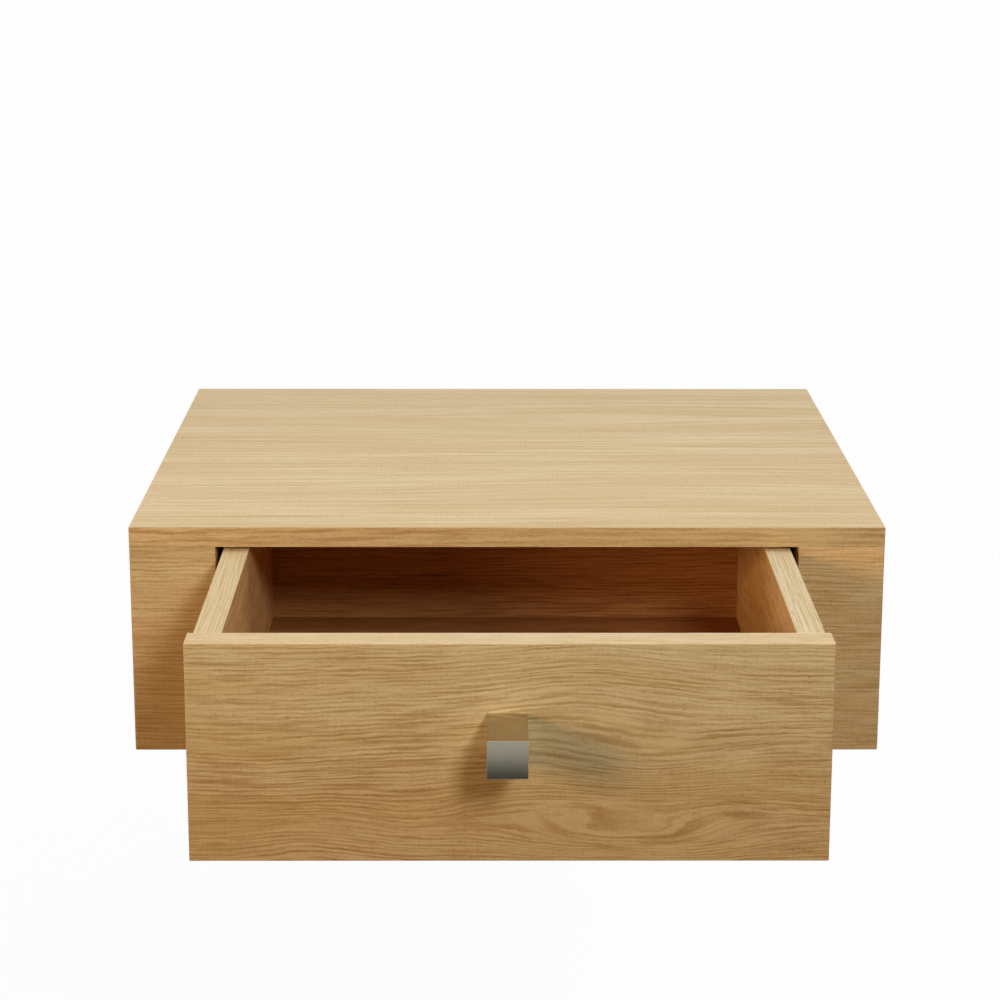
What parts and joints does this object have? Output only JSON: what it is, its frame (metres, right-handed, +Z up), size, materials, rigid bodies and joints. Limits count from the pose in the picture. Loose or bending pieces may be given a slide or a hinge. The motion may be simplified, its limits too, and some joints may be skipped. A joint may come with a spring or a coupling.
{
  "type": "floating nightstand",
  "caption": "Wall-hung oak nightstand: a flat case on a hidden cleat, with an inset drawer on concealed full-extension runners and a square metal bar knob.",
  "frame": {"origin": "middle of the wall cleat's back face, on the wall plane; the drawer stands 207 mm open at rest", "axes": "+Y into the wall, -Y the way the drawer opens, +X to the right seen from the front, +Z up"},
  "size_m": [0.5, 0.705, 0.155],
  "materials": {
    "oak": "light oak under a satin clear coat",
    "birch_plywood": "sanded birch plywood",
    "beech": "turned beech, unfinished",
    "satin_nickel": "satin nickel, finely brushed",
    "zinc_steel": "bright zinc plate on rolled steel",
    "ball_steel": "bright steel balls in pressed steel cages",
    "grey_plastic": "moulded, fine matt texture",
    "orange_plastic": "moulded, fine matt texture"
  },
  "bodies": {
    "case": {"top_panel": "oak", "bottom_panel": "oak", "back_panel": "birch_plywood", "left_front_stile": "oak", "right_front_stile": "oak", "left_outer_side": "oak", "right_outer_side": "oak", "left_inner_side": "oak", "right_inner_side": "oak", "left_front_spacer": "birch_plywood", "left_rear_spacer": "birch_plywood", "right_front_spacer": "birch_plywood", "right_rear_spacer": "birch_plywood", "case_cleat": "birch_plywood", "wall_cleat": "birch_plywood", "case_dowel_left_1": "beech", "case_dowel_left_2": "beech", "case_dowel_left_3": "beech", "case_dowel_right_1": "beech", "case_dowel_right_2": "beech", "case_dowel_right_3": "beech", "runner_bracket_left": "zinc_steel", "runner_bracket_right": "zinc_steel", "cabinet_rail_left": "zinc_steel", "cabinet_rail_right": "zinc_steel"},
    "drawer": {"drawer_front": "oak", "drawer_side_left": "oak", "drawer_side_right": "oak", "drawer_back": "oak", "drawer_bottom": "oak", "front_dowel_left_1": "beech", "front_dowel_left_2": "beech", "front_dowel_left_3": "beech", "front_dowel_right_1": "beech", "front_dowel_right_2": "beech", "front_dowel_right_3": "beech", "back_dowel_left_1": "beech", "back_dowel_left_2": "beech", "back_dowel_right_1": "beech", "back_dowel_right_2": "beech", "knob": "satin_nickel", "knob_screw": "zinc_steel", "drawer_rail_left": "zinc_steel", "drawer_rail_right": "zinc_steel", "locking_clip_left": "grey_plastic", "locking_clip_right": "grey_plastic"},
    "middle_rail_left": {"middle_rail_left": "zinc_steel"},
    "middle_rail_right": {"middle_rail_right": "zinc_steel"},
    "lower_ball_cage_left": {"lower_ball_cage_left": "ball_steel"},
    "lower_ball_cage_right": {"lower_ball_cage_right": "ball_steel"},
    "upper_ball_cage_left": {"upper_ball_cage_left": "ball_steel"},
    "upper_ball_cage_right": {"upper_ball_cage_right": "ball_steel"},
    "release_lever_left": {"release_lever_left": "orange_plastic"},
    "release_lever_right": {"release_lever_right": "orange_plastic"}
  },
  "joints": [
    {"name": "drawer_slide", "type": "slide", "parent": "case", "child": "drawer", "axis": [0, -1, 0], "range_m": [-0.207, 0.183]},
    {"name": "middle_rail_left_slide", "type": "slide", "parent": "case", "child": "middle_rail_left", "axis": [0, -1, 0], "range_m": [-0.1035, 0.0915]},
    {"name": "middle_rail_right_slide", "type": "slide", "parent": "case", "child": "middle_rail_right", "axis": [0, -1, 0], "range_m": [-0.1035, 0.0915]},
    {"name": "lower_ball_cage_left_slide", "type": "slide", "parent": "case", "child": "lower_ball_cage_left", "axis": [0, -1, 0], "range_m": [-0.05175, 0.04575]},
    {"name": "lower_ball_cage_right_slide", "type": "slide", "parent": "case", "child": "lower_ball_cage_right", "axis": [0, -1, 0], "range_m": [-0.05175, 0.04575]},
    {"name": "upper_ball_cage_left_slide", "type": "slide", "parent": "case", "child": "upper_ball_cage_left", "axis": [0, -1, 0], "range_m": [-0.15525, 0.13725]},
    {"name": "upper_ball_cage_right_slide", "type": "slide", "parent": "case", "child": "upper_ball_cage_right", "axis": [0, -1, 0], "range_m": [-0.15525, 0.13725]},
    {"name": "release_lever_left_press", "type": "slide", "parent": "drawer", "child": "release_lever_left", "axis": [1, 0, 0], "range_m": [0, 0.004], "stiffness_N_per_m": 300},
    {"name": "release_lever_right_press", "type": "slide", "parent": "drawer", "child": "release_lever_right", "axis": [-1, 0, 0], "range_m": [0, 0.004], "stiffness_N_per_m": 300}
  ],
  "couplings": [
    {"joint": "middle_rail_left_slide", "follows": "drawer_slide", "ratio": 0.5},
    {"joint": "middle_rail_right_slide", "follows": "drawer_slide", "ratio": 0.5},
    {"joint": "lower_ball_cage_left_slide", "follows": "drawer_slide", "ratio": 0.25},
    {"joint": "lower_ball_cage_right_slide", "follows": "drawer_slide", "ratio": 0.25},
    {"joint": "upper_ball_cage_left_slide", "follows": "drawer_slide", "ratio": 0.75},
    {"joint": "upper_ball_cage_right_slide", "follows": "drawer_slide", "ratio": 0.75}
  ]
}
